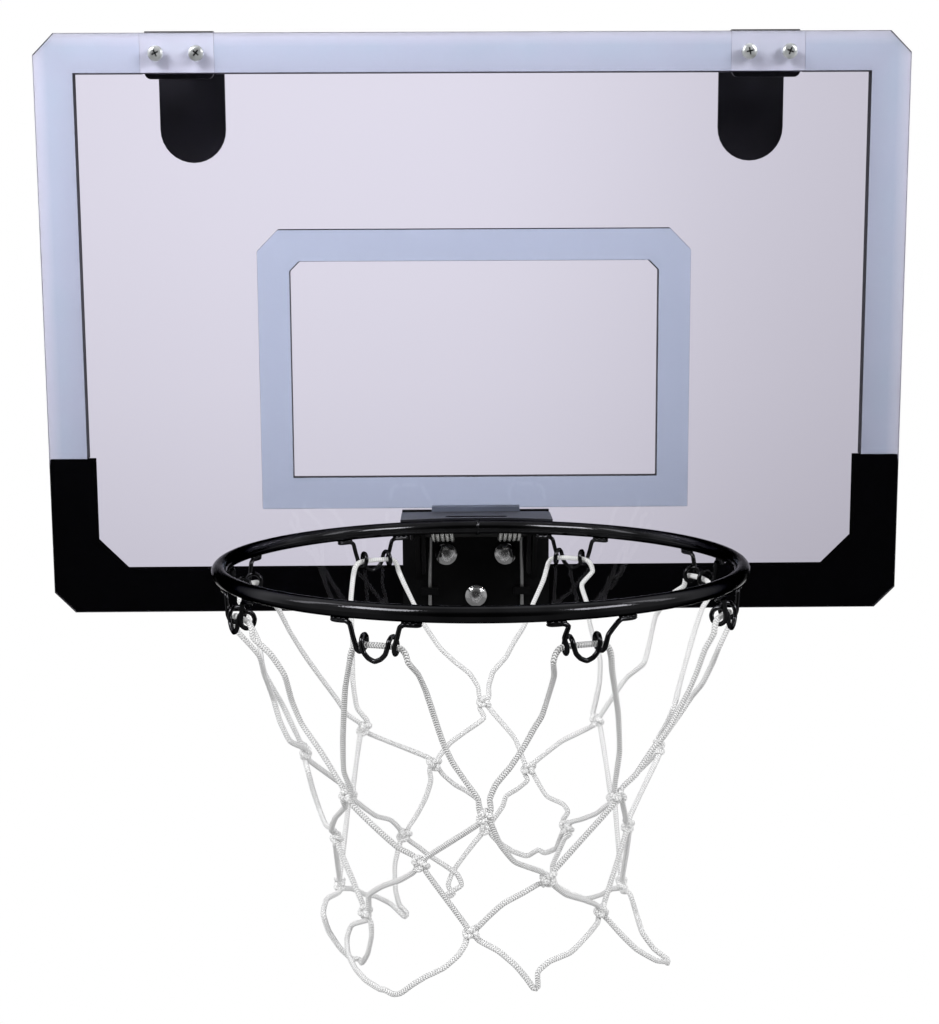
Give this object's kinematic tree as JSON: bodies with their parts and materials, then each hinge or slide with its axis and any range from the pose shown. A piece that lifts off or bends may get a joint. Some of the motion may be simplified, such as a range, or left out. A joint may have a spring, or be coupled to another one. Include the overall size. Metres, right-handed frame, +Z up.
{
  "type": "basketball hoop",
  "caption": "Small basketball hoop that hangs on the top of a door: clear backboard with foam strips, door hooks, and a sprung rim with a knotted net that tips down under load.",
  "frame": {"origin": "middle of the top foam strip's back face, on the plane where the backboard rests against the door", "axes": "+Z up, +Y from the front of the hoop into the door, +X to the right seen from the front; the ring stands out towards -Y"},
  "size_m": [0.457, 0.3343, 0.4374],
  "materials": {
    "clear_panel": "clear polycarbonate, polished",
    "blue_foam": "fine closed-cell foam",
    "black_foam": "black, glossy behind the clear panel",
    "white_foam": "white foam pad",
    "satin_black_steel": "satin black powder coat",
    "gloss_black_steel": "gloss black powder coat",
    "bright_fasteners": "bright plated",
    "zinc_steel": "zinc-plated wire",
    "net_cord": "braided nylon cord"
  },
  "bodies": {
    "board": {"backboard_panel": "clear_panel", "foam_top": "blue_foam", "foam_left": "blue_foam", "foam_right": "blue_foam", "lower_band": "black_foam", "target_frame": "blue_foam", "hook_pad_left": "white_foam", "hook_pad_right": "white_foam", "door_hook_left": "satin_black_steel", "door_hook_right": "satin_black_steel", "hook_screw_1": "bright_fasteners", "hook_screw_2": "bright_fasteners", "hook_screw_3": "bright_fasteners", "hook_screw_4": "bright_fasteners", "mount_bracket": "satin_black_steel", "hinge_pin": "zinc_steel", "hinge_clip": "zinc_steel", "mount_bolt_1": "bright_fasteners", "mount_bolt_2": "bright_fasteners", "mount_bolt_3": "bright_fasteners", "mount_washer_1": "bright_fasteners", "mount_washer_2": "bright_fasteners", "mount_washer_3": "bright_fasteners", "mount_nut_1": "bright_fasteners", "mount_nut_2": "bright_fasteners", "mount_nut_3": "bright_fasteners", "spring_left": "zinc_steel", "spring_right": "zinc_steel"},
    "rim": {"rim_plate": "gloss_black_steel", "rim_ring": "gloss_black_steel", "net_hook_1": "gloss_black_steel", "net_hook_2": "gloss_black_steel", "net_hook_3": "gloss_black_steel", "net_hook_4": "gloss_black_steel", "net_hook_5": "gloss_black_steel", "net_hook_6": "gloss_black_steel", "net_hook_7": "gloss_black_steel", "net_hook_8": "gloss_black_steel"},
    "net": {"net_cord_1": "net_cord", "net_cord_2": "net_cord", "net_cord_3": "net_cord", "net_cord_4": "net_cord", "net_cord_5": "net_cord", "net_cord_6": "net_cord", "net_cord_7": "net_cord", "net_cord_8": "net_cord"}
  },
  "joints": [
    {"name": "rim_tilt", "type": "hinge", "parent": "board", "child": "rim", "pos_m": [0, -0.0313, -0.2495], "axis": [1, 0, 0], "range_deg": [0, 30], "stiffness_Nm_per_rad": 4, "springref_deg": -45.84, "deforming": ["spring_left", "spring_right"]},
    {"name": "net_hang", "type": "hinge", "parent": "rim", "child": "net", "pos_m": [0, -0.1658, -0.244], "axis": [1, 0, 0], "range_deg": [-30, 0], "deforming": ["net_cord_1", "net_cord_2", "net_cord_3", "net_cord_4", "net_cord_5", "net_cord_6", "net_cord_7", "net_cord_8"]}
  ],
  "couplings": [
    {"joint": "net_hang", "follows": "rim_tilt", "ratio": -1}
  ]
}
